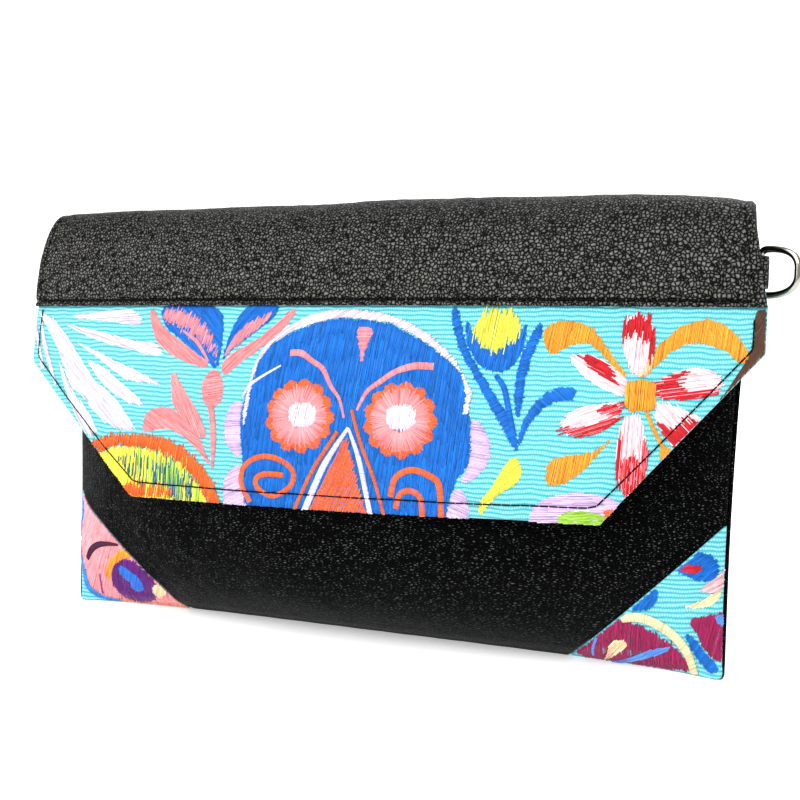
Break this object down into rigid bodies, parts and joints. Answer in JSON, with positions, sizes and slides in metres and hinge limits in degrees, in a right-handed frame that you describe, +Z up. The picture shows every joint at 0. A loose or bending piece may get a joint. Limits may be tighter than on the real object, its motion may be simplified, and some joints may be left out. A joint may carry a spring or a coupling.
{
  "type": "flap clutch bag",
  "caption": "Leather clutch bag with a fold-over flap, embroidered cloth flap panel and lower corners, and a strap ring at one side.",
  "frame": {"origin": "on the surface it stands on, under the middle of its flat base", "axes": "+X to the right as seen from the front, -Y out of the front, +Z up"},
  "size_m": [0.289, 0.0679, 0.1603],
  "materials": {
    "black_leather": "pebble grain, semi-matt",
    "embroidered_cloth": "ribbed turquoise cotton with satin-stitch embroidery",
    "polished_nickel": "polished nickel plate"
  },
  "bodies": {
    "bag": {"front_panel": "black_leather", "back_panel": "black_leather", "front_corner_left": "embroidered_cloth", "front_corner_right": "embroidered_cloth", "flap_band": "black_leather", "flap_cloth": "embroidered_cloth", "flap_snap": "polished_nickel", "ring_tab": "black_leather"},
    "ring": {"strap_ring": "polished_nickel"}
  },
  "joints": [
    {"name": "ring_swing", "type": "hinge", "parent": "bag", "child": "ring", "pos_m": [0.13613, 0.00261, 0.13392], "axis": [0, 0.1392, 0.9903], "range_deg": [-72, 118]}
  ]
}
